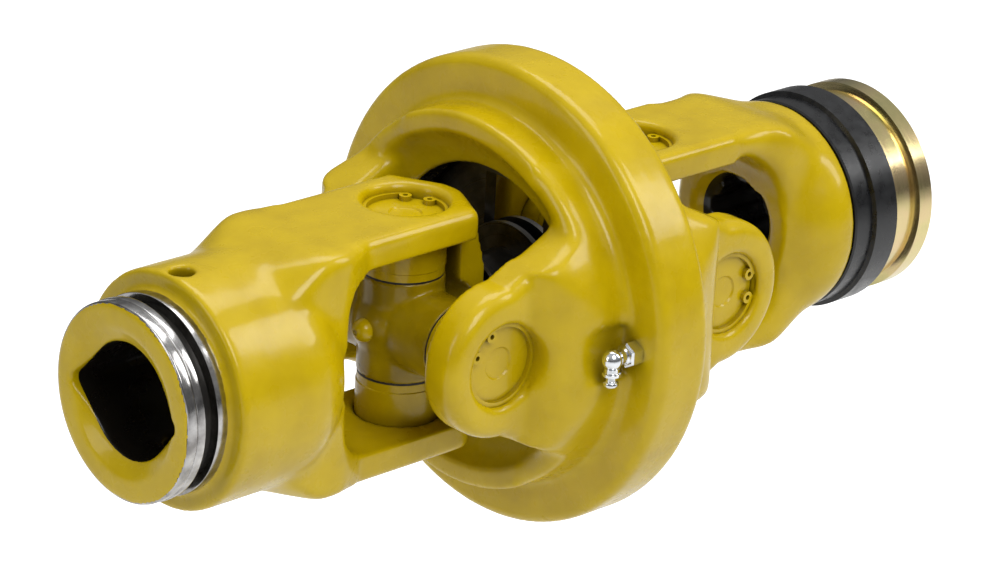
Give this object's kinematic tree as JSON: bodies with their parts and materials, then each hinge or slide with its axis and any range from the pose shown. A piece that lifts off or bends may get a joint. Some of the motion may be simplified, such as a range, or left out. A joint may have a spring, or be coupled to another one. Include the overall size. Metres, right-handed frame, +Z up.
{
  "type": "universal joint",
  "caption": "Wide-angle constant-velocity universal joint with two forked yokes, crosses, a flanged centre housing, a splined bore with pull-collar lock and a profile tube bore.",
  "frame": {"origin": "middle of the centre housing on the straightened joint's axis", "axes": "+X along the joint towards the splined yoke, +Z up along the yoke trunnions"},
  "size_m": [0.42, 0.2, 0.2],
  "materials": {
    "yellow_paint": "gloss",
    "bright_steel": "satin",
    "dark_forging": "satin",
    "oiled_steel": "satin",
    "black_rubber": "matte",
    "black_plastic": "satin",
    "gold_zinc": "satin",
    "zinc": "satin"
  },
  "bodies": {
    "tractor_yoke": {"tractor_yoke": "yellow_paint", "tractor_ball_stud": "bright_steel", "tractor_yoke_rings": "yellow_paint", "tractor_cap_top": "yellow_paint", "tractor_needles_top": "bright_steel", "tractor_seal_top": "black_rubber", "tractor_cap_bottom": "yellow_paint", "tractor_needles_bottom": "bright_steel", "tractor_seal_bottom": "black_rubber", "guard_ring": "black_plastic", "collar_spring": "bright_steel", "locking_balls": "bright_steel", "collar_stop_ring": "bright_steel"},
    "tractor_cross": {"tractor_cross": "dark_forging", "tractor_cross_nipple": "yellow_paint"},
    "housing": {"housing_half_tube": "yellow_paint", "housing_half_tractor": "yellow_paint", "housing_rings": "yellow_paint", "housing_nipple": "zinc", "tube_cap_near": "yellow_paint", "tube_needles_near": "bright_steel", "tube_seal_near": "black_rubber", "tube_cap_far": "yellow_paint", "tube_needles_far": "bright_steel", "tube_seal_far": "black_rubber", "tractor_cap_near": "yellow_paint", "tractor_needles_near": "bright_steel", "tractor_seal_near": "black_rubber", "tractor_cap_far": "yellow_paint", "tractor_needles_far": "bright_steel", "tractor_seal_far": "black_rubber"},
    "tube_cross": {"tube_cross": "dark_forging", "tube_cross_nipple": "yellow_paint"},
    "tube_yoke": {"tube_yoke": "yellow_paint", "tube_ball_stud": "bright_steel", "tube_yoke_rings": "yellow_paint", "tube_cap_top": "yellow_paint", "tube_needles_top": "bright_steel", "tube_seal_top": "black_rubber", "tube_cap_bottom": "yellow_paint", "tube_needles_bottom": "bright_steel", "tube_seal_bottom": "black_rubber"},
    "guide_disc": {"guide_disc": "oiled_steel"},
    "centring_bush": {"centring_bush": "oiled_steel", "bush_plate_tube": "oiled_steel", "bush_plate_tractor": "oiled_steel"},
    "pull_collar": {"pull_collar": "gold_zinc"}
  },
  "joints": [
    {"name": "tractor_yoke_pivot", "type": "hinge", "parent": "tractor_yoke", "child": "tractor_cross", "pos_m": [0.0645, 0, 0], "axis": [0, 0, 1], "range_deg": [-35, 35]},
    {"name": "tractor_housing_pivot", "type": "hinge", "parent": "tractor_cross", "child": "housing", "pos_m": [0.0645, 0, 0], "axis": [0, 1, 0], "range_deg": [-35, 35]},
    {"name": "tube_housing_pivot", "type": "hinge", "parent": "housing", "child": "tube_cross", "pos_m": [-0.0645, 0, 0], "axis": [0, 1, 0], "range_deg": [-35, 35]},
    {"name": "tube_yoke_pivot", "type": "hinge", "parent": "tube_cross", "child": "tube_yoke", "pos_m": [-0.0645, 0, 0], "axis": [0, 0, 1], "range_deg": [-35, 35]},
    {"name": "disc_slide", "type": "slide", "parent": "housing", "child": "guide_disc", "axis": [0, 1, 0], "range_m": [-0.0276, 0.0276]},
    {"name": "bush_slide", "type": "slide", "parent": "guide_disc", "child": "centring_bush", "axis": [0, 0, 1], "range_m": [-0.0272, 0.0272]},
    {"name": "collar_slide", "type": "slide", "parent": "tractor_yoke", "child": "pull_collar", "axis": [-1, 0, 0], "range_m": [0, 0.01], "stiffness_N_per_m": 6000, "springref_m": -0.004, "deforming": ["collar_spring"]}
  ],
  "couplings": [
    {"joint": "tube_housing_pivot", "follows": "tractor_housing_pivot", "ratio": 1},
    {"joint": "tube_yoke_pivot", "follows": "tractor_yoke_pivot", "ratio": 1},
    {"joint": "disc_slide", "follows": "tractor_yoke_pivot", "m_per_rad": 0.0449},
    {"joint": "bush_slide", "follows": "tractor_housing_pivot", "m_per_rad": -0.0441}
  ]
}
